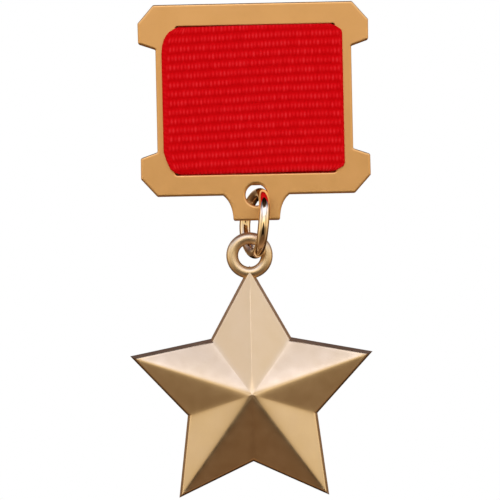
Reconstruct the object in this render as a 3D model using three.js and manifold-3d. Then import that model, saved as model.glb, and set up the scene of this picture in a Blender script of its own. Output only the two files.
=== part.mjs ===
// Military service medal: a five-ray gold star on a jump ring, hung from a gold suspension plate that
// carries a red ribbon, with a brooch pin and safety catch on its back.
// Millimetres. +X is the viewer's right, +Y points back into the coat, +Z is up. The front faces -Y.
// The origin is the centre of the brooch bar's flat rear face, level with the middle of the plate.
import * as THREE from "three";
import { mergeVertices } from "three/addons/utils/BufferGeometryUtils.js";
import Module from "manifold-3d";

const wasm = await Module();
wasm.setup();

// ---- layers from back (y = 0) to front ----
const BAR_THICK = 0.6;
const BACKING_THICK = 0.5;
const PLATE_BACK_Y = -(BAR_THICK + BACKING_THICK);
const PLATE_THICK = 1.6;
const PLATE_FRONT_Y = PLATE_BACK_Y - PLATE_THICK;
const PLATE_MID_Y = (PLATE_BACK_Y + PLATE_FRONT_Y) / 2;
const POCKET_DEPTH = 0.9;
const WEB_BACK_Y = PLATE_BACK_Y - POCKET_DEPTH;

// ---- suspension plate ----
const RAIL_HALF = 11.5;      // half-width between the wings
const RAIL_Z = 6.0;          // where the wings begin
const WING_HALF = 13.53;
const PLATE_TOP_Z = 11.3;
const PLATE_BOTTOM_Z = -11.25;
const CHAMFER_X = 1.85;
const CHAMFER_Z = 2.15;
const LUG_SIDE = [           // half-width and height down the lug's hollowed side
  [3.9, -11.25], [3.4, -11.8], [3.0, -12.55], [2.8, -13.4], [2.74, -14.1], [2.6, -14.25],
];
const LUG_HOLE_Z = -11.24;
const LUG_HOLE_R = 1.25;
const LUG_COUNTERSINK = 0.35;
const SLOT_HALF = 9.95;
const SLOT_IN_Z = 7.95;
const SLOT_OUT_Z = 8.75;
const POCKET_HALF_X = 10.3;
const POCKET_HALF_Z = 9.2;

// ---- ribbon ----
const RIBBON_THICK = 0.6;
const RIBBON_LEFT = -10.8;
const RIBBON_RIGHT = 10.5;
const RIBBON_IN_SLOT_HALF = 9.7;
const RIBBON_INNER_Z = 8.0;
const RIBBON_FACE_Z = 8.0;   // the full width shows up to here, then it narrows into the slots
const RIBBON_END_Z = 0.5;    // the two ends meet behind the web with a 1 mm gap

// ---- brooch ----
const BACKING_HALF_X = 11.1;
const BACKING_HALF_Z = 10.1;
const BAR_HALF_X = 10.6;
const BAR_HALF_Z = 2.1;
const BROOCH_AXIS_Y = 2.6;   // height of the pin above the bar
const HINGE_X = -8.9;
const EAR_IN_Z = 1.3;
const EAR_OUT_Z = 1.8;
const EAR_HALF_X = 1.25;
const EAR_HOLE_R = 0.7;
const HINGE_PIN_R = 0.45;
const HINGE_HEAD_R = 0.9;
const HINGE_HEAD_Z = 2.1;
const EYE_R = 1.15;
const EYE_HOLE_R = 0.75;
const EYE_HALF_Z = 1.0;
const NEEDLE_R = 0.4;
const NEEDLE_TIP_X = 10.8;
const HOUSING_X = [8.2, 10.2];
const HOUSING_R = 1.75;
const HOUSING_BORE_R = 1.35;
const HOUSING_GAP_HALF = 0.75;
const HOUSING_FOOT_HALF = 0.9;
const SLEEVE_X = [7.6, 11.0];
const SLEEVE_R = 1.05;
const SLEEVE_BORE_R = 0.65;
const SLEEVE_GAP_HALF = 0.5;
const FLANGE_R = 1.6;
const FLANGE_THICK = 0.3;
const COLLAR_THICK = 0.5;
const TAB_REACH = 3.0;
const TAB_HALF = 0.55;
const TAB_ANGLE = THREE.MathUtils.degToRad(-70); // from +Y towards +Z

// ---- jump ring ----
const RING_R = 3.53;         // to the middle of the wire
const RING_WIRE_R = 0.64;
const RING_CENTRE = new THREE.Vector3(-0.12, -2.35, -14.57);
const RING_LEAN = THREE.MathUtils.degToRad(6.2);
const RING_YAW = THREE.MathUtils.degToRad(72);
const RING_SPRUNG = 0.2;     // the ring is sprung sideways: top and bottom one way, the sides the other

// ---- star and its eyelet ----
const STAR_CENTRE_X = -0.97;
const STAR_CENTRE_Z = -34.54;
const STAR_R = 15.0;
const STAR_NOTCH_R = 8.02;
const STAR_BACK_Y = -1.8;
const STAR_EDGE = 0.85;      // thickness of the upright edge
const STAR_RISE = 3.7;       // from that edge up to the apex
const STAR_RIM = 0.6;        // flat rim round the sunk back
const STAR_SUNK = 0.3;
const EYELET_CENTRE = new THREE.Vector3(-0.95, PLATE_MID_Y, -18.34);
const EYELET_R = 2.03;
const EYELET_WIRE_R = 0.72;
const EYELET_GAP = 0.25;     // clearance between the eyelet and the star's tip

// ---- finishes ----
const GOLD = { color: 0xcf9c60, roughness: 0.42, metalness: 1 };
const STAR_GOLD = { color: 0xd9b07c, roughness: 0.38, metalness: 1 };
const BRIGHT_GOLD = { color: 0xe0b98c, roughness: 0.12, metalness: 1 };
const RED = { color: 0xcb0812, roughness: 0.85, metalness: 0 };
const STEEL = { color: 0xc9c2b4, roughness: 0.3, metalness: 1 };

const medal = new THREE.Group();

function add(name, geometry, finish) {
  const mesh = new THREE.Mesh(geometry, new THREE.MeshStandardMaterial(finish));
  mesh.name = name;
  medal.add(mesh);
}

// A closed geometry as a manifold solid, and back.
function solid(geometry) {
  const bare = geometry.clone();
  bare.deleteAttribute("normal");
  bare.deleteAttribute("uv");
  const merged = mergeVertices(bare, 1e-5);
  return new wasm.Manifold(new wasm.Mesh({
    numProp: 3,
    vertProperties: new Float32Array(merged.attributes.position.array),
    triVerts: new Uint32Array(merged.index.array),
  }));
}

function geometryOf(manifold) {
  const { vertProperties, triVerts } = manifold.getMesh();
  const geometry = new THREE.BufferGeometry();
  geometry.setAttribute("position", new THREE.BufferAttribute(new Float32Array(vertProperties), 3));
  geometry.setIndex(new THREE.BufferAttribute(new Uint32Array(triVerts), 1));
  return geometry;
}

// An outline drawn in X and Z, thickened from backY towards the front.
function slabXZ(shape, backY, thickness, curveSegments = 8) {
  const geometry = new THREE.ExtrudeGeometry(shape, {
    depth: thickness, bevelEnabled: false, curveSegments,
  });
  return geometry.rotateX(Math.PI / 2).translate(0, backY, 0);
}

// An outline drawn in Y and Z, thickened along X.
const YZ_TO_X = new THREE.Matrix4().makeBasis(
  new THREE.Vector3(0, 1, 0), new THREE.Vector3(0, 0, 1), new THREE.Vector3(1, 0, 0));
function slabYZ(shape, fromX, toX, curveSegments = 8) {
  const geometry = new THREE.ExtrudeGeometry(shape, {
    depth: toX - fromX, bevelEnabled: false, curveSegments,
  });
  return geometry.applyMatrix4(YZ_TO_X).translate(fromX, 0, 0);
}

// An outline drawn in X and Y, thickened along Z.
function slabXY(shape, fromZ, toZ, curveSegments = 8) {
  const geometry = new THREE.ExtrudeGeometry(shape, {
    depth: toZ - fromZ, bevelEnabled: false, curveSegments,
  });
  return geometry.translate(0, 0, fromZ);
}

function box(x0, x1, y0, y1, z0, z1) {
  return new THREE.BoxGeometry(x1 - x0, y1 - y0, z1 - z0)
    .translate((x0 + x1) / 2, (y0 + y1) / 2, (z0 + z1) / 2);
}

function roundedRect(halfX, halfZ, r) {
  const s = new THREE.Shape();
  s.moveTo(-halfX + r, -halfZ);
  s.lineTo(halfX - r, -halfZ);
  s.absarc(halfX - r, -halfZ + r, r, -Math.PI / 2, 0, false);
  s.lineTo(halfX, halfZ - r);
  s.absarc(halfX - r, halfZ - r, r, 0, Math.PI / 2, false);
  s.lineTo(-halfX + r, halfZ);
  s.absarc(-halfX + r, halfZ - r, r, Math.PI / 2, Math.PI, false);
  s.lineTo(-halfX, -halfZ + r);
  s.absarc(-halfX + r, -halfZ + r, r, Math.PI, Math.PI * 1.5, false);
  return s;
}

// Points on an arc about (cx, cy), from angle a to angle b in radians, both ends included.
function arc(cx, cy, r, a, b, steps) {
  const points = [];
  for (let i = 0; i <= steps; i++) {
    const t = a + ((b - a) * i) / steps;
    points.push(new THREE.Vector2(cx + r * Math.cos(t), cy + r * Math.sin(t)));
  }
  return points;
}

// ---- suspension plate: chamfered wings, side rails, slots for the ribbon, and the lug ----
function plateOutline() {
  const right = [
    [WING_HALF - CHAMFER_X, PLATE_TOP_Z], [WING_HALF, PLATE_TOP_Z - CHAMFER_Z],
    [WING_HALF, RAIL_Z + 0.7], [RAIL_HALF, RAIL_Z], [RAIL_HALF, -RAIL_Z], [WING_HALF, -RAIL_Z - 0.7],
    [WING_HALF, PLATE_BOTTOM_Z + CHAMFER_Z], [WING_HALF - CHAMFER_X, PLATE_BOTTOM_Z], ...LUG_SIDE,
  ];
  const left = right.map(([x, z]) => [-x, z]).reverse();
  const shape = new THREE.Shape([...right, ...left].reverse().map(([x, z]) => new THREE.Vector2(x, z)));
  for (const [z0, z1] of [[SLOT_IN_Z, SLOT_OUT_Z], [-SLOT_OUT_Z, -SLOT_IN_Z]]) {
    shape.holes.push(new THREE.Path([
      new THREE.Vector2(-SLOT_HALF, z0), new THREE.Vector2(-SLOT_HALF, z1),
      new THREE.Vector2(SLOT_HALF, z1), new THREE.Vector2(SLOT_HALF, z0),
    ]));
  }
  return shape;
}
const pocket = box(-POCKET_HALF_X, POCKET_HALF_X, WEB_BACK_Y, PLATE_BACK_Y + 1,
  -POCKET_HALF_Z, POCKET_HALF_Z);
const lugHoleProfile = [
  [0, PLATE_FRONT_Y - 0.1], [LUG_HOLE_R + LUG_COUNTERSINK, PLATE_FRONT_Y - 0.1],
  [LUG_HOLE_R + LUG_COUNTERSINK, PLATE_FRONT_Y], [LUG_HOLE_R, PLATE_FRONT_Y + LUG_COUNTERSINK],
  [LUG_HOLE_R, PLATE_BACK_Y - LUG_COUNTERSINK], [LUG_HOLE_R + LUG_COUNTERSINK, PLATE_BACK_Y],
  [LUG_HOLE_R + LUG_COUNTERSINK, PLATE_BACK_Y + 0.1], [0, PLATE_BACK_Y + 0.1],
].map(([r, y]) => new THREE.Vector2(r, y));
const lugHole = new THREE.LatheGeometry(lugHoleProfile, 40).translate(0, 0, LUG_HOLE_Z);
add("suspension_plate", geometryOf(
  solid(slabXZ(plateOutline(), PLATE_BACK_Y, PLATE_THICK)).subtract(solid(pocket))
    .subtract(solid(lugHole))), GOLD);

// ---- ribbon: a band through both slots and round the web, full width across the front ----
function ribbonBandOutline() {
  const frontY = PLATE_FRONT_Y - RIBBON_THICK;
  const backY = WEB_BACK_Y + RIBBON_THICK;
  const outerZ = RIBBON_INNER_Z + RIBBON_THICK;
  const r = 0.5;
  const q = Math.PI / 2;
  return new THREE.Shape([
    new THREE.Vector2(backY, RIBBON_END_Z),
    ...arc(backY - r, outerZ - r, r, 0, q, 4),
    ...arc(frontY + r, outerZ - r, r, q, 2 * q, 4),
    ...arc(frontY + r, r - outerZ, r, 2 * q, 3 * q, 4),
    ...arc(backY - r, r - outerZ, r, 3 * q, 4 * q, 4),
    new THREE.Vector2(backY, -RIBBON_END_Z),
    new THREE.Vector2(WEB_BACK_Y, -RIBBON_END_Z),
    new THREE.Vector2(WEB_BACK_Y, -RIBBON_INNER_Z),
    new THREE.Vector2(PLATE_FRONT_Y, -RIBBON_INNER_Z),
    new THREE.Vector2(PLATE_FRONT_Y, RIBBON_INNER_Z),
    new THREE.Vector2(WEB_BACK_Y, RIBBON_INNER_Z),
    new THREE.Vector2(WEB_BACK_Y, RIBBON_END_Z),
  ]);
}
const ribbonBand = slabYZ(ribbonBandOutline(), -RIBBON_IN_SLOT_HALF, RIBBON_IN_SLOT_HALF);
const ribbonFace = box(RIBBON_LEFT, RIBBON_RIGHT, PLATE_FRONT_Y - RIBBON_THICK, PLATE_FRONT_Y,
  -RIBBON_FACE_Z, RIBBON_FACE_Z);
add("ribbon", geometryOf(solid(ribbonBand).add(solid(ribbonFace))), RED);

// ---- backing plate: closes the pocket and carries the brooch ----
add("backing_plate",
  slabXZ(roundedRect(BACKING_HALF_X, BACKING_HALF_Z, 1.0), PLATE_BACK_Y + BACKING_THICK,
    BACKING_THICK, 5), GOLD);

// ---- brooch bar: a strip with two ears turned up at the hinge end ----
function earOutline() {
  const s = new THREE.Shape([
    new THREE.Vector2(HINGE_X - EAR_HALF_X, -BAR_THICK / 2),
    new THREE.Vector2(HINGE_X + EAR_HALF_X, -BAR_THICK / 2),
    ...arc(HINGE_X, BROOCH_AXIS_Y, EAR_HALF_X, 0, Math.PI, 14),
  ]);
  const hole = new THREE.Path();
  hole.absarc(HINGE_X, BROOCH_AXIS_Y, EAR_HOLE_R, 0, Math.PI * 2, true);
  s.holes.push(hole);
  return s;
}
let bar = solid(slabXZ(roundedRect(BAR_HALF_X, BAR_HALF_Z, 0.8), 0, BAR_THICK, 5));
for (const [z0, z1] of [[EAR_IN_Z, EAR_OUT_Z], [-EAR_OUT_Z, -EAR_IN_Z]]) {
  bar = bar.add(solid(slabXY(earOutline(), z0, z1, 12)));
}
add("brooch_bar", geometryOf(bar), STEEL);

// ---- hinge pin: a headed rivet through both ears and the needle's eye ----
const pinProfile = [
  [0, -HINGE_HEAD_Z], [HINGE_HEAD_R, -HINGE_HEAD_Z], [HINGE_HEAD_R, -EAR_OUT_Z],
  [HINGE_PIN_R, -EAR_OUT_Z], [HINGE_PIN_R, EAR_OUT_Z], [HINGE_HEAD_R, EAR_OUT_Z],
  [HINGE_HEAD_R, HINGE_HEAD_Z], [0, HINGE_HEAD_Z],
].map(([r, z]) => new THREE.Vector2(r, z));
add("hinge_pin",
  new THREE.LatheGeometry(pinProfile, 20).rotateX(Math.PI / 2).translate(HINGE_X, BROOCH_AXIS_Y, 0),
  STEEL);

// ---- needle: an eye on the hinge pin and a wire that tapers to a point ----
function eyeOutline() {
  const s = new THREE.Shape(arc(HINGE_X, BROOCH_AXIS_Y, EYE_R, 0, Math.PI * 2, 28).slice(0, -1));
  const hole = new THREE.Path();
  hole.absarc(HINGE_X, BROOCH_AXIS_Y, EYE_HOLE_R, 0, Math.PI * 2, true);
  s.holes.push(hole);
  return s;
}
const wireStartX = HINGE_X + (EYE_R + EYE_HOLE_R) / 2 - 0.1;
const wireProfile = [
  [0, wireStartX], [NEEDLE_R, wireStartX], [NEEDLE_R, 4.5], [0.3, 7.0], [0.26, 8.6],
  [0.15, 10.0], [0, NEEDLE_TIP_X],
].map(([r, x]) => new THREE.Vector2(r, x));
const wire = new THREE.LatheGeometry(wireProfile, 16).rotateZ(-Math.PI / 2)
  .translate(0, BROOCH_AXIS_Y, 0);
add("needle", geometryOf(
  solid(slabXY(eyeOutline(), -EYE_HALF_Z, EYE_HALF_Z, 14)).add(solid(wire))), STEEL);

// ---- catch housing: a C-shaped barrel on a foot, open away from the bar ----
function housingOutline() {
  const outer = Math.asin(HOUSING_GAP_HALF / HOUSING_R);
  const inner = Math.asin(HOUSING_GAP_HALF / HOUSING_BORE_R);
  const foot = Math.PI - Math.asin(HOUSING_FOOT_HALF / HOUSING_R);
  return new THREE.Shape([
    ...arc(BROOCH_AXIS_Y, 0, HOUSING_R, outer, foot, 10),
    new THREE.Vector2(0, HOUSING_FOOT_HALF), new THREE.Vector2(0, -HOUSING_FOOT_HALF),
    ...arc(BROOCH_AXIS_Y, 0, HOUSING_R, -foot, -outer, 10),
    ...arc(BROOCH_AXIS_Y, 0, HOUSING_BORE_R, -inner, inner - Math.PI * 2, 18),
  ]);
}
add("catch_housing", slabYZ(housingOutline(), HOUSING_X[0], HOUSING_X[1]), STEEL);

// ---- catch sleeve: a slotted tube that turns in the housing, with flanges and a thumb tab ----
function disc(r) {
  return new THREE.Shape(arc(BROOCH_AXIS_Y, 0, r, 0, Math.PI * 2, 28).slice(0, -1));
}
function tabOutline() {
  const along = new THREE.Vector2(Math.cos(TAB_ANGLE), Math.sin(TAB_ANGLE));
  const across = new THREE.Vector2(-along.y, along.x);
  const at = (u, v) => new THREE.Vector2(BROOCH_AXIS_Y, 0)
    .addScaledVector(along, u).addScaledVector(across, v);
  return new THREE.Shape([
    at(1.2, -TAB_HALF), at(TAB_REACH - 0.3, -TAB_HALF), at(TAB_REACH, -TAB_HALF + 0.3),
    at(TAB_REACH, TAB_HALF - 0.3), at(TAB_REACH - 0.3, TAB_HALF), at(1.2, TAB_HALF),
  ]);
}
function keyhole() {
  const a = Math.asin(SLEEVE_GAP_HALF / SLEEVE_BORE_R);
  return new THREE.Shape([
    new THREE.Vector2(BROOCH_AXIS_Y + 2.5, SLEEVE_GAP_HALF),
    ...arc(BROOCH_AXIS_Y, 0, SLEEVE_BORE_R, a, Math.PI * 2 - a, 20),
    new THREE.Vector2(BROOCH_AXIS_Y + 2.5, -SLEEVE_GAP_HALF),
  ]);
}
const [sleeveX0, sleeveX1] = SLEEVE_X;
const sleeve = solid(slabYZ(disc(SLEEVE_R), sleeveX0, sleeveX1))
  .add(solid(slabYZ(disc(FLANGE_R), sleeveX0, sleeveX0 + FLANGE_THICK)))
  .add(solid(slabYZ(disc(FLANGE_R), sleeveX1 - COLLAR_THICK, sleeveX1)))
  .add(solid(slabYZ(tabOutline(), sleeveX1 - COLLAR_THICK, sleeveX1)))
  .subtract(solid(slabYZ(keyhole(), sleeveX0 - 1, sleeveX1 + 1)));
add("catch_sleeve", geometryOf(sleeve), STEEL);

// ---- jump ring: round wire through the lug's hole and the eyelet, seen almost edge on ----
const ringUp = new THREE.Vector3(Math.sin(RING_LEAN), 0, Math.cos(RING_LEAN));
const ringAcross = new THREE.Vector3(Math.cos(RING_LEAN), 0, -Math.sin(RING_LEAN))
  .multiplyScalar(Math.cos(RING_YAW)).addScaledVector(new THREE.Vector3(0, -1, 0), Math.sin(RING_YAW));
const ringAxis = new THREE.Vector3().crossVectors(ringAcross, ringUp);
const ringWire = new THREE.TorusGeometry(RING_R, RING_WIRE_R, 14, 48);
const at = ringWire.attributes.position;
for (let i = 0; i < at.count; i++) {
  const turn = Math.atan2(at.getY(i), at.getX(i));
  at.setZ(i, at.getZ(i) + RING_SPRUNG * Math.cos(2 * turn));
}
add("jump_ring", ringWire.applyMatrix4(new THREE.Matrix4().makeBasis(ringAcross, ringUp, ringAxis))
  .translate(RING_CENTRE.x, RING_CENTRE.y, RING_CENTRE.z), BRIGHT_GOLD);

// ---- star: ten facets from the apex down to an upright edge, with a sunk flat back ----
function starRing(scale, y) {
  const points = [];
  for (let i = 0; i < 10; i++) {
    const r = (i % 2 ? STAR_NOTCH_R : STAR_R) * scale;
    const t = Math.PI / 2 + (i * Math.PI) / 5;
    points.push([STAR_CENTRE_X + r * Math.cos(t), y, STAR_CENTRE_Z + r * Math.sin(t)]);
  }
  return points;
}
// Distance from the centre to the line of every edge: insetting an edge is scaling the outline.
const edgeLength = Math.sqrt(STAR_R ** 2 + STAR_NOTCH_R ** 2
  - 2 * STAR_R * STAR_NOTCH_R * Math.cos(Math.PI / 5));
const edgeReach = (STAR_R * STAR_NOTCH_R * Math.sin(Math.PI / 5)) / edgeLength;
function starGeometry() {
  const inner = 1 - STAR_RIM / edgeReach;
  const rings = [
    starRing(1, STAR_BACK_Y - STAR_EDGE), starRing(1, STAR_BACK_Y),
    starRing(inner, STAR_BACK_Y), starRing(inner, STAR_BACK_Y - STAR_SUNK),
  ];
  const points = rings.flat();
  const apex = points.push([STAR_CENTRE_X, STAR_BACK_Y - STAR_EDGE - STAR_RISE, STAR_CENTRE_Z]) - 1;
  const floor = points.push([STAR_CENTRE_X, STAR_BACK_Y - STAR_SUNK, STAR_CENTRE_Z]) - 1;
  const faces = [];
  for (let i = 0; i < 10; i++) {
    const j = (i + 1) % 10;
    faces.push(apex, i, j);
    for (let k = 0; k < 3; k++) {
      const a = k * 10;
      faces.push(a + i, a + 10 + i, a + 10 + j, a + i, a + 10 + j, a + j);
    }
    faces.push(30 + i, floor, 30 + j);
  }
  const geometry = new THREE.BufferGeometry();
  geometry.setAttribute("position", new THREE.Float32BufferAttribute(points.flat(), 3));
  geometry.setIndex(faces);
  return geometry;
}
add("star", starGeometry(), STAR_GOLD);

// ---- star eyelet: round wire behind the star's top tip, notched clear of it ----
const tipCutter = slabXZ(
  new THREE.Shape(starRing(1 + EYELET_GAP / edgeReach, 0).map(([x, , z]) => new THREE.Vector2(x, z))),
  STAR_BACK_Y + EYELET_GAP, 6);
const eyeletWire = new THREE.TorusGeometry(EYELET_R, EYELET_WIRE_R, 14, 44).rotateX(Math.PI / 2)
  .translate(EYELET_CENTRE.x, EYELET_CENTRE.y, EYELET_CENTRE.z);
add("star_eyelet", geometryOf(solid(eyeletWire).subtract(solid(tipCutter))), STAR_GOLD);

export default medal;
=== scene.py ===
"""Military service medal: the fine surface, materials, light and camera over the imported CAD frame.

Metres, in the row frame: +X the viewer's right, +Y back into the coat, +Z up, the front facing -Y.
Shapes below are written in millimetres and scaled once, in new_object().
"""
import math

import bpy
import numpy as np
from mathutils import Matrix, Vector
from mathutils.geometry import tessellate_polygon


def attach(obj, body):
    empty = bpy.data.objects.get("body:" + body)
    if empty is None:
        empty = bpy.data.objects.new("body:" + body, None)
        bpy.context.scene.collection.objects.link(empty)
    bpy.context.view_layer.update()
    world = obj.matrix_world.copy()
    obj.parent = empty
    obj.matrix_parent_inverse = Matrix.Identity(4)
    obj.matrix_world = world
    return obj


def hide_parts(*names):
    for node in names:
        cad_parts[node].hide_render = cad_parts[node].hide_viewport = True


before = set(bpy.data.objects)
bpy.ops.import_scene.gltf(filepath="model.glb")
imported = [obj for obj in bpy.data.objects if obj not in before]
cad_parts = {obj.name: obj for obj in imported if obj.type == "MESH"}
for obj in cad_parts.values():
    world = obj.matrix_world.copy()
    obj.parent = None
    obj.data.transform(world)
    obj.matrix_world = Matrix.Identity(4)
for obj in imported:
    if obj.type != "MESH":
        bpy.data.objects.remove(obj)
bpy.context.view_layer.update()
MM = 0.001
TAU = 2 * math.pi
TINY = 1e-12

# ---- sizes shared by several pieces, in millimetres ----
BAR_FRONT, PLATE_BACK, WEB_BACK, PLATE_FRONT = -0.6, -1.1, -2.0, -2.7
PLATE_MID = (PLATE_BACK + PLATE_FRONT) / 2
BROOCH_Y, HINGE_X = 2.6, -8.9                         # the axis of needle and catch, and the hinge on it
STAR_X, STAR_Z = -0.97, -34.54
STAR_REACH = 7.267                                    # centre to the line of each side
STAR_BACK, STAR_EDGE, STAR_RISE = -1.8, 0.85, 3.7     # rear rim, thickness at the edge, apex above it

# ---- fineness of the rounded rims, in millimetres where it is a length ----
RIM_STEPS = 4
CAP_RING = 0.1                                        # flat ring inside a rim, for even shading
MITRE_LIMIT = 0.35                                    # keeps sharp corners from running far out


# ======================================================================== outlines
def arc(cx, cy, r, a, b, n):
    """n + 1 points on an arc, angles in degrees."""
    return [(cx + r * math.cos(math.radians(a + (b - a) * i / n)),
             cy + r * math.sin(math.radians(a + (b - a) * i / n))) for i in range(n + 1)]


def round_corners(points, radii, steps):
    """A closed polygon with each corner turned into an arc; radii is one radius or one per corner."""
    if not hasattr(radii, "__len__"):
        radii = [radii] * len(points)
    out = []
    for i, p in enumerate(points):
        p = np.array(p, float)
        a = np.array(points[i - 1], float) - p
        b = np.array(points[(i + 1) % len(points)], float) - p
        la, lb = np.linalg.norm(a), np.linalg.norm(b)
        a, b = a / la, b / lb
        half = math.acos(np.clip(a @ b, -1, 1)) / 2
        if radii[i] <= 0 or half > 1.55:
            out.append(tuple(p))
            continue
        reach = min(radii[i] / math.tan(half), 0.49 * la, 0.49 * lb)
        r = reach * math.tan(half)
        centre = p + (a + b) / np.linalg.norm(a + b) * r / math.sin(half)
        s, e = p + a * reach - centre, p + b * reach - centre
        t0 = math.atan2(s[1], s[0])
        turn = (math.atan2(e[1], e[0]) - t0 + math.pi) % TAU - math.pi
        out += [(centre[0] + r * math.cos(t0 + turn * k / steps),
                 centre[1] + r * math.sin(t0 + turn * k / steps)) for k in range(steps + 1)]
    return out


def denser(points, step):
    """The same closed outline with no side longer than step."""
    out = []
    for i, p in enumerate(points):
        q = points[(i + 1) % len(points)]
        n = max(1, math.ceil(math.dist(p, q) / step))
        out += [(p[0] + (q[0] - p[0]) * k / n, p[1] + (q[1] - p[1]) * k / n) for k in range(n)]
    return out


def box(x0, x1, z0, z1, radius, steps, longest):
    """A rectangle with rounded corners and no side longer than longest."""
    corners = [(x0, z0), (x1, z0), (x1, z1), (x0, z1)]
    return denser(round_corners(corners, radius, steps), longest)


def signed_area(points):
    """The area of a closed polygon, positive when it runs counter-clockwise."""
    p = np.array(points)
    q = np.roll(p, -1, 0)
    return float((p[:, 0] * q[:, 1] - q[:, 0] * p[:, 1]).sum() / 2)


def wound(points, counter_clockwise):
    """The outline wound as asked: outer loops counter-clockwise, holes the other way."""
    points = list(points)
    return points if (signed_area(points) > 0) == counter_clockwise else points[::-1]


def offset(points, d):
    """The outline moved d to its left, into the material, with mitred corners."""
    p = np.array(points, float)
    e = np.roll(p, -1, 0) - p
    e /= np.maximum(np.linalg.norm(e, axis=1, keepdims=True), TINY)
    n = np.stack([-e[:, 1], e[:, 0]], 1)
    m = n + np.roll(n, 1, 0)
    m /= np.maximum((m * m).sum(1, keepdims=True) / 2, MITRE_LIMIT)
    return p + m * d


# ======================================================================== meshes
class Mesher:
    """Collects points and faces in millimetres."""

    def __init__(self):
        self.points, self.faces = [], []

    def row(self, pts):
        """Adds points and returns their indices."""
        start = len(self.points)
        self.points += [tuple(p) for p in pts]
        return list(range(start, len(self.points)))

    def join(self, a, b):
        """Faces between two closed rows."""
        for i in range(len(a)):
            j = (i + 1) % len(a)
            self.faces.append((a[i], a[j], b[j], b[i]))

    def cap(self, loops, flat, flip=False):
        """Fills the flat region between index loops; flat gives each index its 2-D point."""
        order = [i for loop in loops for i in loop]
        polys = [[Vector((*flat[i], 0)) for i in loop] for loop in loops]
        for t in tessellate_polygon(polys):
            tri = [order[k] for k in t]
            a, b, c = (np.array(flat[i]) for i in tri)
            up = (b - a)[0] * (c - a)[1] - (b - a)[1] * (c - a)[0]
            if abs(up) < TINY:              # a triangle without area
                continue
            if (up < 0) != flip:
                tri.reverse()
            self.faces.append(tuple(tri))


def slab_profile(lo, hi, r_lo, r_hi):
    """(inset, height) pairs up a plate's side, with a quarter round of r_lo below and r_hi above."""
    turn = np.linspace(0, math.pi / 2, RIM_STEPS + 1)
    low, high = [(0, lo)], [(0, hi)]
    if r_lo > 0:
        low = [(r_lo * (1 - math.cos(t)), lo + r_lo - r_lo * math.sin(t)) for t in turn[::-1]]
        low.insert(0, (r_lo + CAP_RING, lo))
    if r_hi > 0:
        high = [(r_hi * (1 - math.cos(t)), hi - r_hi + r_hi * math.sin(t)) for t in turn]
        high.append((r_hi + CAP_RING, hi))
    return low + high


def slab(mesher, loops, lo, hi, place, r_lo, r_hi, capped=True, hole=False):
    """A plate from lo to hi whose rims are rounded by r_lo and r_hi.

    The first loop is the outside, unless hole is set, and the others are holes. A loop is a list of
    points, or a tuple of such a list and its own two rim radii. place(u, v, w) gives a point in the
    row frame. Returns the lowest rows, the highest rows and the flat point of every index.
    """
    lows, highs, flat = [], [], {}
    for k, loop in enumerate(loops):
        points, a, b = loop if isinstance(loop, tuple) else (loop, r_lo, r_hi)
        points = wound(points, k == 0 and not hole)
        rows = []
        for inset, height in slab_profile(lo, hi, a, b):
            outline = offset(points, inset)
            rows.append(mesher.row(place(u, v, height) for u, v in outline))
            flat.update(zip(rows[-1], map(tuple, outline)))
        for below, above in zip(rows, rows[1:]):
            mesher.join(below, above)
        lows.append(rows[0])
        highs.append(rows[-1])
    if capped:
        mesher.cap(lows, flat, flip=True)
        mesher.cap(highs, flat)
    return lows, highs, flat


def new_object(name, mesher, material, sharp=None):
    """A mesh object from a Mesher, smooth with area-weighted normals, sharp above an angle in degrees."""
    points = np.array(mesher.points, float) * MM
    mesh = bpy.data.meshes.new(name)
    mesh.from_pydata(points.tolist(), [], mesher.faces)
    mesh.validate()
    mesh.polygons.foreach_set("use_smooth", [True] * len(mesh.polygons))
    mesh.update()
    if sharp is not None:
        mesh.set_sharp_from_angle(angle=math.radians(sharp))
    obj = bpy.data.objects.new(name, mesh)
    bpy.context.scene.collection.objects.link(obj)
    mesh.materials.append(material)
    weighted = obj.modifiers.new("weighted", "WEIGHTED_NORMAL")
    weighted.mode = "FACE_AREA"
    weighted.weight = 80
    weighted.keep_sharp = True
    return obj


def piece(obj, body, slot, *nodes):
    """Puts the object on its body, in the place of the CAD nodes it redraws; slot is not used."""
    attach(obj, body)
    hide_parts(*nodes)
    return obj


def xz(u, v, w):
    """Outline in X and Z, thickness towards the front."""
    return (u, -w, v)


def yz(u, v, w):
    """Outline in Y and Z, thickness along X."""
    return (w, u, v)


def xy(u, v, w):
    """Outline in X and Y, thickness upwards."""
    return (u, v, w)


def lathe(mesher, profile, n, place):
    """Turns (radius, height) points about the w axis; the first and last have radius 0."""
    rows = []
    for r, h in profile:
        if r == 0:
            rows.append(mesher.row([place(0, 0, h)]))
        else:
            rows.append(mesher.row(place(r * math.cos(TAU * i / n), r * math.sin(TAU * i / n), h)
                                   for i in range(n)))
    for a, b in zip(rows[1:], rows[2:-1]):
        mesher.join(a, b)
    for i in range(n):
        j = (i + 1) % n
        mesher.faces.append((rows[0][0], rows[1][j], rows[1][i]))
        mesher.faces.append((rows[-2][i], rows[-2][j], rows[-1][0]))


def sweep(mesher, centres, frames, radii, n, closed):
    """Round wire through centres, with flat ends unless it is closed.

    frames holds two unit vectors across the wire at each centre.
    """
    rows = []
    turn = [TAU * i / n for i in range(n)]
    for c, (p, q), r in zip(centres, frames, radii):
        rows.append(mesher.row(np.array(c) + r * (math.cos(t) * p + math.sin(t) * q) for t in turn))
    for a, b in zip(rows, rows[1:] + (rows[:1] if closed else [])):
        mesher.join(a, b)
    if not closed:
        first = mesher.row([centres[0]])[0]
        last = mesher.row([centres[-1]])[0]
        for i in range(n):
            j = (i + 1) % n
            mesher.faces.append((first, rows[0][j], rows[0][i]))
            mesher.faces.append((last, rows[-1][i], rows[-1][j]))


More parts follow.
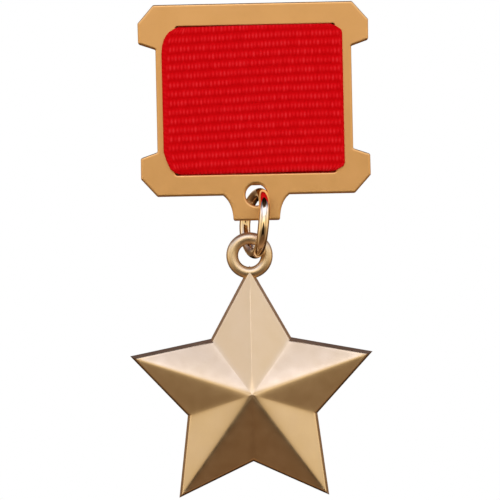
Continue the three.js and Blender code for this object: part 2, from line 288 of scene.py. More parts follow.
# ======================================================================== materials
GRAIN_DEPTH, SCRATCH_DEPTH, FUZZ_DEPTH = 0.00003, 0.00002, 0.00006      # metres


def nodes_of(name):
    """A new material with its node tree, its shader and its object coordinates."""
    mat = bpy.data.materials.new(name)
    mat.use_nodes = True
    tree = mat.node_tree
    shader = tree.nodes["Principled BSDF"]
    where = tree.nodes.new("ShaderNodeTexCoord").outputs["Object"]
    return mat, tree, shader, where


def noise(tree, where, scale, detail, rough=0.55, stretch=None):
    """Noise at scale cycles per metre, in the piece's own space."""
    if stretch:
        mapping = tree.nodes.new("ShaderNodeMapping")
        mapping.inputs["Scale"].default_value = stretch
        tree.links.new(where, mapping.inputs["Vector"])
        where = mapping.outputs["Vector"]
    node = tree.nodes.new("ShaderNodeTexNoise")
    node.inputs["Scale"].default_value = scale
    node.inputs["Detail"].default_value = detail
    node.inputs["Roughness"].default_value = rough
    tree.links.new(where, node.inputs["Vector"])
    return node.outputs["Fac"]


def ramp(tree, value, *stops):
    """A colour ramp through (position, colour) stops; a plain number stands for a grey."""
    node = tree.nodes.new("ShaderNodeValToRGB")
    elements = node.color_ramp.elements
    while len(elements) < len(stops):
        elements.new(0.5)
    for element, (at, colour) in zip(elements, stops):
        element.position = at
        element.color = (*colour, 1) if hasattr(colour, "__len__") else (colour, colour, colour, 1)
    tree.links.new(value, node.inputs["Fac"])
    return node.outputs["Color"]


def remap(tree, value, lo, hi, a=0.3, b=0.7):
    """Maps a to b onto lo to hi and holds the ends; a noise mostly lies between 0.3 and 0.7."""
    node = tree.nodes.new("ShaderNodeMapRange")
    for key, number in (("From Min", a), ("From Max", b), ("To Min", lo), ("To Max", hi)):
        node.inputs[key].default_value = number
    tree.links.new(value, node.inputs["Value"])
    return node.outputs["Result"]


def bump(tree, heights, shader):
    """Chains bumps: heights is a list of (height socket, distance in metres, strength)."""
    normal = None
    for height, distance, strength in heights:
        node = tree.nodes.new("ShaderNodeBump")
        node.inputs["Distance"].default_value = distance
        node.inputs["Strength"].default_value = strength
        tree.links.new(height, node.inputs["Height"])
        if normal:
            tree.links.new(normal, node.inputs["Normal"])
        normal = node.outputs["Normal"]
    tree.links.new(normal, shader.inputs["Normal"])


def gilt(name, dark, light, rough, grain, scratch=None, blotch=260):
    """Polished or plated metal: cloudy colour, a fine grain and, where asked, faint wear scratches.

    rough holds the least and the greatest roughness and the strength of the grain; grain and blotch
    are cycles per metre; scratch holds its cycles per metre, its stretch and its strength.
    """
    mat, tree, shader, where = nodes_of(name)
    shader.inputs["Metallic"].default_value = 1.0
    cloud = noise(tree, where, blotch, 4)
    tree.links.new(ramp(tree, cloud, (0.3, dark), (0.7, light)), shader.inputs["Base Color"])
    fine = noise(tree, where, grain, 3, 0.7)
    tree.links.new(remap(tree, noise(tree, where, blotch * 2.7, 3), rough[0], rough[1]),
                   shader.inputs["Roughness"])
    heights = [(fine, GRAIN_DEPTH, rough[2])]
    if scratch:
        heights.append((noise(tree, where, scratch[0], 2, 0.6, scratch[1]), SCRATCH_DEPTH, scratch[2]))
    bump(tree, heights, shader)
    return mat


SATIN = (0.34, 0.42, 0.12)
PLATE_GOLD = gilt("plate_gold", (0.86, 0.49, 0.195), (0.91, 0.525, 0.215), SATIN, 5200)
STAR_GOLD = gilt("star_gold", (0.89, 0.68, 0.43), (0.94, 0.73, 0.49), SATIN, 6500)
RING_GOLD = gilt("ring_gold", (0.95, 0.75, 0.53), (0.97, 0.79, 0.58), (0.04, 0.08, 0.02), 3000)
BROOCH_GOLD = gilt("brooch_gold", (0.74, 0.50, 0.24), (0.84, 0.60, 0.31), (0.24, 0.36, 0.12), 4000,
                   scratch=(700, (1, 12, 12), 0.15))
STEEL = gilt("needle_steel", (0.60, 0.59, 0.57), (0.70, 0.69, 0.67), (0.16, 0.26, 0.05), 5000,
             scratch=(900, (1, 20, 20), 0.12), blotch=400)


def ribbon_material():
    """Silk rep: painted highlights on the warp dashes of each rib, painted shade in the grooves, a plain
    darker selvedge, fine fuzz.
    """
    mat, tree, shader, where = nodes_of("ribbon_red")
    # the rib attribute holds the weave's painted light and shade, which sets how light the red is
    weave = tree.nodes.new("ShaderNodeAttribute")
    weave.attribute_name = "rib"
    cloud = noise(tree, where, 420, 3)
    thread = noise(tree, where, 1000, 2, 0.6, (2.6, 1, 0.35))
    mixed = tree.nodes.new("ShaderNodeMath")
    mixed.operation = "ADD"
    tree.links.new(remap(tree, thread, -0.16, 0.16), mixed.inputs[0])
    tree.links.new(weave.outputs["Fac"], mixed.inputs[1])
    # from the painted shade of the grooves to the painted highlights of the warp dashes
    colour = ramp(tree, mixed.outputs["Value"], (0.0, (0.74, 0.0003, 0.0024)),
                  (0.30, (0.82, 0.0014, 0.0045)), (0.70, (0.93, 0.0090, 0.0140)),
                  (1.0, (0.99, 0.0260, 0.0330)))
    tree.links.new(colour, shader.inputs["Base Color"])
    shader.inputs["Specular IOR Level"].default_value = 0.05
    tree.links.new(remap(tree, cloud, 0.72, 0.86), shader.inputs["Roughness"])
    bump(tree, [(noise(tree, where, 5200, 3, 0.7, (1, 1, 0.35)), FUZZ_DEPTH, 0.25)], shader)
    return mat


RIBBON_RED = ribbon_material()


# ======================================================================== suspension plate
# left, right, bottom, top and front rim of the two slots
SLOTS = ((-9.12, 9.62, 7.95, 8.73, 0.05), (-9.40, 9.38, -8.73, -7.95, 0.2))
LUG_HOLE_Z, LUG_HOLE_R = -11.24, 1.25


def plate_outline():
    """Four chamfered wings, two rails and the lug, counter-clockwise."""
    right = [(11.6, -11.25), (13.5, -9.15), (13.48, -6.68), (11.5, -6.0), (11.5, 6.05), (13.52, 6.75),
             (13.55, 9.15), (11.68, 11.3)]
    radii = [0.30, 0.25, 0.28, 0.22, 0.22, 0.28, 0.25, 0.30]
    left = [(-x, z) for x, z in reversed(right)]
    body = round_corners(right + left, radii + radii[::-1], 5)
    lug = [(3.9, -11.25), (3.62, -11.5), (3.38, -11.8), (3.17, -12.15), (3.0, -12.55), (2.88, -12.95),
           (2.8, -13.4), (2.75, -13.8), (2.74, -14.05), (2.66, -14.2), (2.5, -14.25)]
    return denser(body + [(-x, z) for x, z in lug] + lug[::-1], 1.2)


def make_plate():
    """A plate with a lug hole and two slots, which open into a pocket at the back."""
    m = Mesher()
    flat = {}
    back, web, front = -PLATE_BACK, -WEB_BACK, -PLATE_FRONT

    def part(outline, lo, hi, r_lo, r_hi, hole=True):
        lows, highs, points = slab(m, [outline], lo, hi, xz, r_lo, r_hi, capped=False, hole=hole)
        flat.update(points)
        return lows[0], highs[0]

    outer = part(plate_outline(), back, front, 0.15, 0.19, hole=False)
    lug = part(arc(0, LUG_HOLE_Z, LUG_HOLE_R, 0, 360, 56)[:-1], back, front, 0.38, 0.27)
    slots = [part(box(x0, x1, z0, z1, 0.22, 4, 1.2), web, front, 0, rim) for x0, x1, z0, z1, rim in SLOTS]
    pocket = part(box(-10.3, 10.3, -9.2, 9.2, 0.4, 4, 1.2), back, web, 0, 0)
    m.cap([outer[1], lug[1]] + [slot[1] for slot in slots], flat)
    m.cap([outer[0], lug[0], pocket[0]], flat, flip=True)
    m.cap([pocket[1]] + [slot[0] for slot in slots], flat, flip=True)
    return piece(new_object("suspension_plate_fine", m, PLATE_GOLD, 50), "plate", "plate_gold",
                 "suspension_plate")


make_plate()


# ======================================================================== ribbon
RIB_PITCH, WARP_PITCH, RIB_SLOPE = 1.054, 0.434, 0.031      # the slope is rise over run
RIBBON_TOP = 8.43                         # middle of the band where it turns over the slots' edges
RIBBON_LEFT, RIBBON_RIGHT = -10.75, 10.5  # edges of the band before it is drawn in at its ends
LEFT_STAYS, RIGHT_STAYS = -7.5, 8.0       # the band between these is never drawn in
HALF_BAND = 0.27                          # half the thickness of the band
BASE_LIFT, EDGE_SINK = 0.14, 0.20         # the weave's ground above the middle, and its rolled edges below
COLUMNS, FRONT_STEPS = 300, 200
# the ribbon's edges as pairs of height and x, drawn in round the corners of both slots
LEFT_EDGE = ((-8.43, -9.05), (-8.37, -9.35), (-8.30, -9.60), (-8.20, -9.85), (-8.09, -10.0),
             (-7.0, -10.48), (-6.0, -10.78), (5.4, -10.80), (6.4, -10.72), (7.2, -10.48), (7.7, -10.2),
             (8.09, -9.85), (8.20, -9.62), (8.30, -9.34), (8.38, -9.07), (8.43, -8.8))
RIGHT_EDGE = ((-8.43, 9.15), (-8.37, 9.45), (-8.30, 9.75), (-8.20, 10.08), (-8.09, 10.3), (-7.7, 10.48),
              (7.6, 10.48), (7.9, 10.4), (8.09, 10.27), (8.20, 10.08), (8.30, 9.82), (8.37, 9.58),
              (8.43, 9.3))


def ribbon_edges(z):
    """Left and right edges of the ribbon where its front passes height z."""
    return [float(np.interp(z, *zip(*edge))) for edge in (LEFT_EDGE, RIGHT_EDGE)]


def ribbon_path():
    """Points (y, z) and outward directions on the band's middle surface, and the slice of its front."""
    front, rear, r = -3.0, -1.7, 0.34
    bottom, top = -RIBBON_TOP, RIBBON_TOP
    tail = 0.5                              # the two ends stop this far from the middle, behind
    path = []

    def line(y0, z0, y1, z1, n, out):
        for k in range(n):
            t = k / n
            path.append(((y0 + (y1 - y0) * t, z0 + (z1 - z0) * t), out))

    def bend(cy, cz, a, b, n):
        for k in range(n):
            t = math.radians(a + (b - a) * k / n)
            path.append(((cy + r * math.cos(t), cz + r * math.sin(t)), (math.cos(t), math.sin(t))))

    line(rear, -tail, rear, bottom + r, 34, (1, 0))
    bend(rear - r, bottom + r, 0, -90, 7)
    line(rear - r, bottom, front + r, bottom, 4, (0, -1))
    bend(front + r, bottom + r, -90, -180, 9)
    start = len(path)
    line(front, bottom + r, front, top - r, FRONT_STEPS, (-1, 0))
    face = slice(start, len(path))
    bend(front + r, top - r, 180, 90, 9)
    line(front + r, top, rear - r, top, 4, (0, 1))
    bend(rear - r, top - r, 90, 0, 7)
    line(rear, top - r, rear, tail, 34, (1, 0))
    path.append(((rear, tail), (1, 0)))
    points, out = zip(*path)
    return np.array(points), np.array(out), face


def ribbon_weave(s, x, cells):
    """Height in mm and painted light and shade, 0 to 1, of the rep weave at distance s along the band, for
    each x.

    The ribs rise to the right and bow a little; each carries warp dashes, set over by half a pitch
    from rib to rib, whose strength comes from cells. The edges carry a selvedge of small loops.
    The shade is painted light: painted highlights on rib tops and warp dashes, painted shade in
    the grooves, and over the selvedge a low level that is lighter on the loops.
    """
    bow = 0.05 * np.sin((x + 3) / 5.2) + 0.015 * np.sin(x / 1.7 + s)
    rise = RIB_SLOPE * np.where(x < 4, x, 4 + 0.45 * (x - 4))
    phase = (s - rise - bow) / RIB_PITCH + 0.5
    index = np.floor(phase).astype(int)
    warp_at = x / WARP_PITCH + 0.5 * (index % 2) + 0.10 * np.sin(x * 1.3 + index)
    thread = np.floor(warp_at).astype(int)
    cell = cells[index % len(cells), thread % len(cells)]
    rib = (0.5 - 0.5 * np.cos(TAU * (phase + 0.05 * (cell - 0.5)))) ** 0.7
    warp = 0.5 - 0.5 * np.cos(TAU * warp_at)
    left = np.clip((x - RIBBON_LEFT) / 0.75, 0, 1)
    right = np.clip((RIBBON_RIGHT - x) / 0.40, 0, 1)
    inside = left ** 3 * right ** 2
    loops = 0.5 + 0.5 * np.sin(TAU * (s / 0.52 + x / 1.1))
    height = inside * (0.11 * rib + 0.05 * warp * rib) + (1 - inside) * (0.05 + 0.05 * loops)
    # painted highlight on rib tops and warp dashes, painted shade in the grooves; low over the selvedge,
    # lighter on its loops
    shade = inside * rib * (0.28 + (0.42 + 0.50 * cell) * warp) + (1 - inside) * (0.16 + 0.30 * loops)
    return height, np.clip(shade, 0, 1)


def drawn_in(x, z):
    """The band's columns moved so that its edges follow ribbon_edges at height z."""
    left, right = ribbon_edges(z)
    left_share = (left - LEFT_STAYS) / (RIBBON_LEFT - LEFT_STAYS)
    right_share = (right - RIGHT_STAYS) / (RIBBON_RIGHT - RIGHT_STAYS)
    x = np.where(x < LEFT_STAYS, LEFT_STAYS + (x - LEFT_STAYS) * left_share, x)
    return np.where(x > RIGHT_STAYS, RIGHT_STAYS + (x - RIGHT_STAYS) * right_share, x)


def make_ribbon():
    """A woven outer face on a plain inner one, along a loop that is open behind the plate."""
    path, out, face = ribbon_path()
    along = np.concatenate([[0], np.cumsum(np.linalg.norm(np.diff(path, axis=0), axis=1))])
    along -= np.interp(0.0, path[face, 1], along[face])     # 0 at the middle of the front
    cells = np.random.default_rng(7).random((64, 64))
    base_x = np.linspace(RIBBON_LEFT, RIBBON_RIGHT, COLUMNS + 1)
    edge_round = 0.28
    rounding = np.sqrt(1 - (1 - np.clip((base_x - RIBBON_LEFT) / edge_round, 0, 1)) ** 2)
    rounding *= np.sqrt(1 - (1 - np.clip((RIBBON_RIGHT - base_x) / edge_round, 0, 1)) ** 2)
    m = Mesher()
    painted_light_levels, outer, inner = [], [], []
    for (y, z), (oy, oz), s in zip(path, out, along):
        facing_front = oy < -0.05
        x = drawn_in(base_x, z if facing_front else math.copysign(RIBBON_TOP, z))
        height, shade = ribbon_weave(s, base_x, cells)
        lift = (BASE_LIFT + height) * rounding - EDGE_SINK * (1 - rounding)
        if oy > -0.75:                      # in the slots and behind, the weave stays within the band
            lift = np.minimum(lift, HALF_BAND)
        outer.append(m.row(np.stack([x, y + oy * lift, z + oz * lift], 1)))
        # painted light and shade of the weave at each point, for the rib attribute
        painted_light_levels += list(shade)
        inner_x = (x[0] + 0.05, 0.0, x[-1] - 0.05)
        inner.append(m.row([(ix, y - oy * HALF_BAND, z - oz * HALF_BAND) for ix in inner_x]))
        # the plain inner face gets one low, dark level of the same painted light and shade
        painted_light_levels += [0.1] * len(inner_x)
    for a, b in zip(outer, outer[1:]):
        for i in range(COLUMNS):
            m.faces.append((a[i], b[i], b[i + 1], a[i + 1]))
    for a, b in zip(inner, inner[1:]):
        for i in range(2):
            m.faces.append((a[i], a[i + 1], b[i + 1], b[i]))
    for a, b, c, d in zip(outer, outer[1:], inner, inner[1:]):
        m.faces.append((a[0], c[0], d[0], b[0]))
        m.faces.append((a[-1], b[-1], d[-1], c[-1]))
    m.faces.append(tuple(outer[0]) + tuple(inner[0][::-1]))
    m.faces.append(tuple(outer[-1][::-1]) + tuple(inner[-1]))
    obj = new_object("ribbon_woven", m, RIBBON_RED)
    # the rib attribute carries the painted highlights and painted shade of the weave to the material
    obj.data.attributes.new("rib", "FLOAT", "POINT").data.foreach_set("value", painted_light_levels)
    piece(obj, "plate", "ribbon_red", "ribbon")
    return obj


make_ribbon()


# ======================================================================== back of the plate
def make_backing():
    m = Mesher()
    slab(m, [box(-11.1, 11.1, -10.1, 10.1, 1.0, 8, 1.5)], -BAR_FRONT, -PLATE_BACK, xz, 0.16, 0.0)
    return piece(new_object("backing_plate_fine", m, PLATE_GOLD, 50), "plate", "plate_gold",
                 "backing_plate")


def make_bar():
    """The bar and the two ears that carry the hinge pin."""
    m = Mesher()
    slab(m, [box(-10.6, 10.6, -2.1, 2.1, 0.8, 8, 1.5)], 0.0, -BAR_FRONT, xz, 0.12, 0.0)
    foot, neck, neck_y, root_y = 1.45, 1.28, 0.25, -0.3
    ear = [(HINGE_X - foot, root_y), (HINGE_X + foot, root_y), (HINGE_X + neck, neck_y)]
    ear += arc(HINGE_X, BROOCH_Y, 1.25, 0, 180, 22) + [(HINGE_X - neck, neck_y)]
    hole = arc(HINGE_X, BROOCH_Y, 0.55, 0, 360, 28)[:-1]
    for lo, hi in ((1.3, 1.8), (-1.8, -1.3)):
        slab(m, [ear, (hole, 0.05, 0.05)], lo, hi, xy, 0.1, 0.1)
    return piece(new_object("brooch_bar_fine", m, BROOCH_GOLD, 50), "plate", "brooch_metal",
                 "brooch_bar")


def make_hinge_pin():
    """A shank with a domed head on each end."""
    m = Mesher()
    shank, head, seat, dome = 0.45, 0.9, 1.80, 0.34
    upper = [(shank, seat), (0.86, seat)]
    for t in range(80, 9, -10):
        upper.append((head * math.sin(math.radians(t)), seat + dome * math.cos(math.radians(t))))
    upper.append((0, seat + dome))
    profile = [(r, -z) for r, z in reversed(upper)] + upper
    lathe(m, profile, 36, lambda u, v, w: (HINGE_X + u, BROOCH_Y + v, w))
    return piece(new_object("hinge_pin_fine", m, BROOCH_GOLD, 40), "plate", "brooch_metal",
                 "hinge_pin")


def make_needle():
    """An eye on the hinge pin and a long point."""
    m = Mesher()
    eye = arc(HINGE_X, BROOCH_Y, 1.15, 0, 360, 40)[:-1]
    hole = arc(HINGE_X, BROOCH_Y, 0.62, 0, 360, 32)[:-1]
    slab(m, [eye, (hole, 0.08, 0.08)], -1.0, 1.0, xy, 0.22, 0.22)
    along = [(-8.0, 0.62), (-7.7, 0.50), (-7.3, 0.43), (-6.8, 0.40), (4.5, 0.40), (6.0, 0.345),
             (7.5, 0.30), (8.8, 0.25), (9.8, 0.165), (10.4, 0.085), (10.75, 0.02)]      # x and radius
    across = (np.array((0, 1, 0.0)), np.array((0, 0, 1.0)))
    sweep(m, [(x, BROOCH_Y, 0) for x, _ in along], [across] * len(along), [r for _, r in along],
          24, False)
    return piece(new_object("needle_fine", m, STEEL, 45), "pin", "needle_steel", "needle")


def barrel(r_out, r_in, gap, tail=()):
    """A C-shaped outline about the pin's axis, open towards +Y; tail replaces the arc opposite."""
    a, b = (math.degrees(math.asin(gap / r)) for r in (r_out, r_in))
    if tail:
        half = math.degrees(math.asin(tail[0][1] / r_out))
        first = arc(BROOCH_Y, 0, r_out, a, 180 - half, 16)
        second = arc(BROOCH_Y, 0, r_out, 180 + half, 360 - a, 16)
        outer = first + list(tail) + second
    else:
        outer = arc(BROOCH_Y, 0, r_out, a, 360 - a, 40)
    return outer + arc(BROOCH_Y, 0, r_in, -b, b - 360, 34)


def make_housing():
    m = Mesher()
    foot = [(0.0, 0.9), (0.0, -0.9)]
    slab(m, [barrel(1.75, 1.35, 0.75, foot)], 8.2, 10.2, yz, 0.12, 0.12)
    return piece(new_object("catch_housing_fine", m, BROOCH_GOLD, 50), "plate", "brooch_metal",
                 "catch_housing")


def make_sleeve():
    """A slotted tube with a collar at each end and a thumb tab on the outer collar."""
    m = Mesher()
    gap = 0.5
    collar = barrel(1.6, 0.66, gap)
    slab(m, [barrel(1.05, 0.65, gap)], 7.7, 10.9, yz, 0.0, 0.0)
    slab(m, [collar], 7.6, 7.9, yz, 0.1, 0.1)
    slab(m, [collar], 10.5, 11.0, yz, 0.1, 0.1)
    root, reach, half = 1.45, 2.45, 0.55
    turn = math.radians(-70)
    tab = []
    for u, v in [(root, half)] + arc(reach, 0, half, 90, -90, 10) + [(root, -half)]:
        tab.append((BROOCH_Y + u * math.cos(turn) - v * math.sin(turn),
                    u * math.sin(turn) + v * math.cos(turn)))
    slab(m, [tab], 10.52, 10.98, yz, 0.12, 0.12)
    return piece(new_object("catch_sleeve_fine", m, BROOCH_GOLD, 50), "catch", "brooch_metal",
                 "catch_sleeve")


make_backing()
make_bar()
make_hinge_pin()
make_needle()
make_housing()
make_sleeve()


# ======================================================================== jump ring
def make_jump_ring():
    """Round wire in a circle, sprung a little sideways, with a butt joint at the back."""
    m = Mesher()
    lean, yaw = math.radians(6.2), math.radians(72)
    centre, radius, wire, spring = np.array((-0.12, -2.35, -14.57)), 3.53, 0.645, 0.2
    up = np.array((math.sin(lean), 0, math.cos(lean)))
    across = np.array((math.cos(lean), 0, -math.sin(lean))) * math.cos(yaw)
    across = across + np.array((0, -1.0, 0)) * math.sin(yaw)
    axis = np.cross(across, up)
    half_joint, joint_at, count = 0.7, 212, 181           # the first two in degrees
    angles = np.radians(np.linspace(joint_at + half_joint, joint_at + 360 - half_joint, count))
    ease = np.minimum(1, 0.86 + np.arange(count) * 0.07)
    radii = wire * np.minimum(ease, ease[::-1])
    centres = []
    for a in angles:
        flat = centre + radius * (math.cos(a) * across + math.sin(a) * up)
        centres.append(flat + spring * math.cos(2 * a) * axis)
    frames = []
    for k in range(count):
        run = centres[min(k + 1, count - 1)] - centres[max(k - 1, 0)]
        side = axis - run * (axis @ run) / (run @ run)
        side /= np.linalg.norm(side)
        frames.append((side, np.cross(run / np.linalg.norm(run), side)))
    sweep(m, centres, frames, radii, 44, False)
    return piece(new_object("jump_ring_fine", m, RING_GOLD, 60), "ring", "ring_gold", "jump_ring")


make_jump_ring()


# ======================================================================== star and eyelet
RAY_HALF = math.radians(36)         # from a ridge to the valley beside it
FACET_TURN = math.radians(61)       # from a ridge to the way its facet faces
RIDGE_PART, VALLEY_PART = math.sin(FACET_TURN), math.sin(FACET_TURN - RAY_HALF)
LIP = 0.40                          # width of the lit lip round the facets
FRONT_DROP = 0.07                   # the front sits this much lower than the back, which bares the upper wall
FACET_RINGS = (0.012, 0.03, 0.06, 0.1, 0.15, 0.21, 0.28, 0.36, 0.44, 0.52, 0.6, 0.68, 0.76, 0.83, 0.89,
               0.94, 0.97, 0.99, 1.0)                         # share of the way from centre to lip
LIP_RINGS = ((0.36, 0.025), (0.32, 0.055), (0.28, 0.095), (0.25, 0.14), (0.225, 0.20), (0.21, 0.25))
BACK_RINGS = ((0.0, -0.05), (0.03, 0.0), (0.6, 0.0), (0.68, -0.3))


def star_height(u, v, along, crisp):
    """Rise of the star's front above its rim: flat facets that round off at ridges and valleys.

    u and v are the distances from the nearest ridge and valley, along the distance up the ridge;
    crisp is 1 on the top ray, whose ridge is the sharpest, and 0 on the others.
    """
    slope = STAR_RISE / STAR_REACH
    soft = 0.20 + 0.20 * np.clip(1 - along / 14.5, 0, 1)
    tight = soft * (1 - 0.98 * crisp * np.clip(along / 2.0, 0, 1))
    plane = STAR_RISE - slope * (math.cos(FACET_TURN) * along + RIDGE_PART * np.abs(u))
    plane -= slope * RIDGE_PART * (np.sqrt(u * u + tight * tight) - np.abs(u))
    return plane + slope * VALLEY_PART * (np.sqrt(v * v + soft * soft) - np.abs(v))


def make_star():
    """Ten facets on fine rays and rings, a lit lip, a sloping dark side wall and a sunk flat back.

    Lip and back rings are pairs: the distance inside the outline, and the depth behind the lip's
    front or, at the back, behind the rear rim.
    """
    m = Mesher()
    front = STAR_BACK - STAR_EDGE
    near = [0.0, 0.25, 0.55, 0.9, 1.3, 1.8, 2.5, 3.5, 5.0, 7.5, 11.0, 15.0]     # crowded at the creases
    swing = np.radians(near + [18.0] + [36 - d for d in reversed(near)])
    rays = []
    for k in range(10):
        rays += [(k, d) for d in (swing[:-1] if k % 2 == 0 else swing[::-1][:-1])]
    angle = np.array([math.radians(90) + (k + k % 2) * RAY_HALF + (d if k % 2 == 0 else -d) for k, d in rays])
    off = np.array([d for _, d in rays])
    crisp = np.array([1.0 if k in (0, 9) else 0.0 for k, _ in rays])
    full = STAR_REACH / np.cos(FACET_TURN - off)

    def ring(r, y, drop):
        return m.row(np.stack([STAR_X + r * np.cos(angle), np.broadcast_to(y, r.shape),
                               STAR_Z - drop + r * np.sin(angle)], 1))

    rows = []
    lip = 1 - LIP / STAR_REACH
    base = STAR_RISE * (1 - lip)
    for f in FACET_RINGS:
        r = full * lip * f
        u, v, along = r * np.sin(off), r * np.sin(RAY_HALF - off), r * np.cos(off)
        crown = 0.035 * math.sin(math.pi * f) * np.sin(math.pi * off / off.max())
        rise = np.maximum(star_height(u, v, along, crisp) - base + crown, 0)
        rows.append(ring(r, front - rise, FRONT_DROP))
    for inset, depth in LIP_RINGS:
        rows.append(ring(full * (1 - inset / STAR_REACH), front + depth, FRONT_DROP))
    for inset, depth in BACK_RINGS:
        rows.append(ring(full * (1 - inset / STAR_REACH), STAR_BACK + depth, 0))
    for a, b in zip(rows, rows[1:]):
        m.join(b, a)
    zero = np.zeros(1)
    peak = float(star_height(zero, zero, zero, zero)[0]) - base
    apex = m.row([(STAR_X, front - peak, STAR_Z - FRONT_DROP)])[0]
    floor = m.row([(STAR_X, STAR_BACK + BACK_RINGS[-1][1], STAR_Z)])[0]
    for i in range(len(rays)):
        j = (i + 1) % len(rays)
        m.faces.append((apex, rows[0][i], rows[0][j]))
        m.faces.append((rows[-1][i], floor, rows[-1][j]))
    obj = new_object("star_fine", m, STAR_GOLD, 42)
    return piece(obj, "pendant", "star_gold", "star")


def make_eyelet():
    m = Mesher()
    centre, radius, wire, count = np.array((-0.95, PLATE_MID, -18.34)), 2.03, 0.70, 96
    centres, frames = [], []
    for k in range(count):
        a = TAU * k / count
        radial = np.array((math.cos(a), 0, math.sin(a)))
        centres.append(centre + radius * radial)
        frames.append((np.array((0, -1.0, 0)), radial))
    sweep(m, centres, frames, [wire] * count, 36, True)
    return piece(new_object("star_eyelet_fine", m, STAR_GOLD), "pendant", "star_gold",
                 "star_eyelet")


make_star()
make_eyelet()


# ======================================================================== stage, light and camera
def make_floor():
    """A pale disc below the medal that the gold doesn't mirror."""
    m = Mesher()
    radius, height, sides = 300, -70, 96
    m.row((radius * math.cos(TAU * i / sides), radius * math.sin(TAU * i / sides), height)
          for i in range(sides))
    m.faces.append(tuple(range(sides)))
    mat, tree, shader, where = nodes_of("pale_floor")
    cloud = noise(tree, where, 30, 2)
    tree.links.new(ramp(tree, cloud, (0.3, (0.95, 0.93, 0.87)), (0.7, (0.98, 0.96, 0.90))),
                   shader.inputs["Base Color"])
    shader.inputs["Roughness"].default_value = 0.9
    floor = new_object("floor", m, mat)
    floor.modifiers.clear()
    floor.visible_glossy = False


def light(name, place, target, size, power, colour):
    """A rectangular area light, in metres and watts, aimed at target."""
    data = bpy.data.lights.new(name, "AREA")
    data.shape = "RECTANGLE"
    data.size, data.size_y = size
    data.energy = power
    data.color = colour
    obj = bpy.data.objects.new(name, data)
    bpy.context.scene.collection.objects.link(obj)
    obj.location = place
    obj.rotation_euler = (Vector(target) - Vector(place)).to_track_quat("-Z", "Y").to_euler()


# Colour of the room by height, from straight down at 0 to straight up at 1: a brown floor, a warm
# wall, a cool bright window high up and a dark ceiling.
ROOM = ((0.0, (0.20, 0.115, 0.06)), (0.13, (0.12, 0.065, 0.030)), (0.19, (0.16, 0.10, 0.055)),
        (0.235, (0.22, 0.155, 0.085)), (0.34, (0.30, 0.22, 0.125)), (0.44, (0.54, 0.43, 0.26)),
        (0.53, (0.58, 0.49, 0.30)), (0.70, (0.63, 0.62, 0.65)), (0.87, (0.84, 1.00, 1.52)),
        (0.893, (0.80, 0.90, 1.25)), (0.912, (0.17, 0.12, 0.09)), (0.94, (0.045, 0.025, 0.018)))
# What that colour is multiplied by, from the viewer's side at 0 to behind the medal at 1: bright
# straight ahead, dimmer around it, bright again beside the medal, brown behind it and pale straight
# behind.
DEPTH = ((0.0, 1.38), (0.035, 1.16), (0.07, 0.72), (0.12, 0.55), (0.20, 0.50), (0.32, 0.56),
         (0.42, 1.0), (0.52, 0.95), (0.60, (0.36, 0.28, 0.22)), (0.75, (0.19, 0.125, 0.095)),
         (0.85, (0.105, 0.07, 0.058)), (0.92, (0.16, 0.12, 0.10)), (0.97, (0.55, 0.48, 0.43)),
         (1.0, (0.75, 0.68, 0.62)))


def math_node(tree, kind, a, b=0.0):
    """One operation on sockets or numbers."""
    node = tree.nodes.new("ShaderNodeMath")
    node.operation = kind
    for socket, value in zip(node.inputs, (a, b)):
        if isinstance(value, float):
            socket.default_value = value
        else:
            tree.links.new(value, socket)
    return node.outputs[0]


def room_colour(tree, y, z):
    """Colour by height times factor by depth."""
    node = tree.nodes.new("ShaderNodeVectorMath")
    node.operation = "MULTIPLY"
    tree.links.new(ramp(tree, remap(tree, z, 0, 1, -1, 1), *ROOM), node.inputs[0])
    tree.links.new(ramp(tree, remap(tree, y, 0, 1, -1, 1), *DEPTH), node.inputs[1])
    return node.outputs[0]


def room_strength(tree, x, y, z):
    """Dark in a wedge below eye level that widens downwards, and dim overhead; bright elsewhere."""
    half_wedge = remap(tree, z, 0.43, 0.11, -0.30, 0.08)
    past_wedge = math_node(tree, "SUBTRACT", math_node(tree, "ABSOLUTE", x), half_wedge)
    beside = remap(tree, past_wedge, 0.04, 1.0, -0.06, 0.12)
    above = remap(tree, z, 0.0, 1.0, 0.02, 0.15)
    below = remap(tree, z, 1.0, 0.0, -0.68, -0.56)
    wedge = math_node(tree, "MAXIMUM", beside, math_node(tree, "MAXIMUM", above, below))
    high = remap(tree, z, 0.0, 1.0, 0.46, 0.64)
    not_in_front = remap(tree, y, 0.0, 1.0, -0.38, -0.18)
    not_behind = remap(tree, y, 1.0, 0.35, 0.08, 0.35)
    overhead = math_node(tree, "MULTIPLY", math_node(tree, "MULTIPLY", high, not_in_front), not_behind)
    return math_node(tree, "MULTIPLY", wedge, remap(tree, overhead, 2.0, 0.2, 0.0, 1.0))


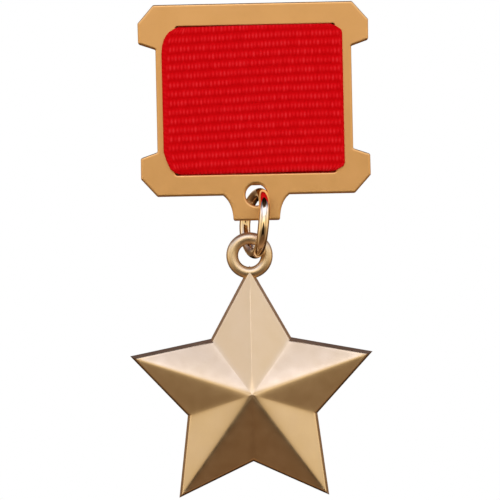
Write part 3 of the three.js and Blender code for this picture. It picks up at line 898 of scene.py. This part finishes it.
def make_world():
    """Plain white to the camera; the light and what the gold mirrors come from a soft room."""
    world = bpy.data.worlds.new("studio")
    bpy.context.scene.world = world
    world.use_nodes = True
    tree = world.node_tree
    tree.nodes.clear()
    split = tree.nodes.new("ShaderNodeSeparateXYZ")
    tree.links.new(tree.nodes.new("ShaderNodeTexCoord").outputs["Generated"], split.inputs[0])
    x, y, z = split.outputs
    scaled = tree.nodes.new("ShaderNodeVectorMath")
    scaled.operation = "SCALE"
    tree.links.new(room_colour(tree, y, z), scaled.inputs[0])
    tree.links.new(room_strength(tree, x, y, z), scaled.inputs["Scale"])
    room = tree.nodes.new("ShaderNodeBackground")
    tree.links.new(scaled.outputs[0], room.inputs["Color"])
    room.inputs["Strength"].default_value = 1.0
    white = tree.nodes.new("ShaderNodeBackground")
    white.inputs["Color"].default_value = (1, 1, 1, 1)
    path = tree.nodes.new("ShaderNodeLightPath")
    mix = tree.nodes.new("ShaderNodeMixShader")
    out = tree.nodes.new("ShaderNodeOutputWorld")
    tree.links.new(path.outputs["Is Camera Ray"], mix.inputs["Fac"])
    tree.links.new(room.outputs[0], mix.inputs[1])
    tree.links.new(white.outputs[0], mix.inputs[2])
    tree.links.new(mix.outputs[0], out.inputs["Surface"])


def make_camera():
    """A long lens straight in front, rolled so that the medal leans a little anticlockwise."""
    roll = math.radians(1.2)
    centre = Vector((-0.876, -3.0, -17.706)) * MM
    distance, view_width, film = 0.55, 58.6854 * MM, 36
    data = bpy.data.cameras.new("camera")
    data.sensor_width = film
    data.lens = film * distance / view_width
    data.clip_start, data.clip_end = 0.01, 10
    camera = bpy.data.objects.new("camera", data)
    bpy.context.scene.collection.objects.link(camera)
    right = Vector((math.cos(roll), 0, -math.sin(roll)))
    up = Vector((math.sin(roll), 0, math.cos(roll)))
    towards_viewer = Vector((0, -1, 0))
    turn = Matrix((right, up, towards_viewer)).transposed().to_4x4()
    camera.matrix_world = Matrix.Translation(centre + towards_viewer * distance) @ turn
    bpy.context.scene.camera = camera


make_floor()
make_world()
make_camera()
light("top softbox", place=(0.02, -0.24, 0.195), target=(0, 0, -0.02), size=(0.34, 0.16), power=0.100,
      colour=(1.0, 0.97, 1.03))
light("right fill", place=(0.34, -0.20, 0.02), target=(0, 0, -0.03), size=(0.20, 0.24), power=0.04,
      colour=(1.0, 0.92, 0.75))
light("left fill", place=(-0.34, -0.20, 0.02), target=(0, 0, -0.03), size=(0.20, 0.24), power=0.027,
      colour=(1.0, 0.88, 0.70))
bpy.context.scene.view_settings.view_transform = "Standard"
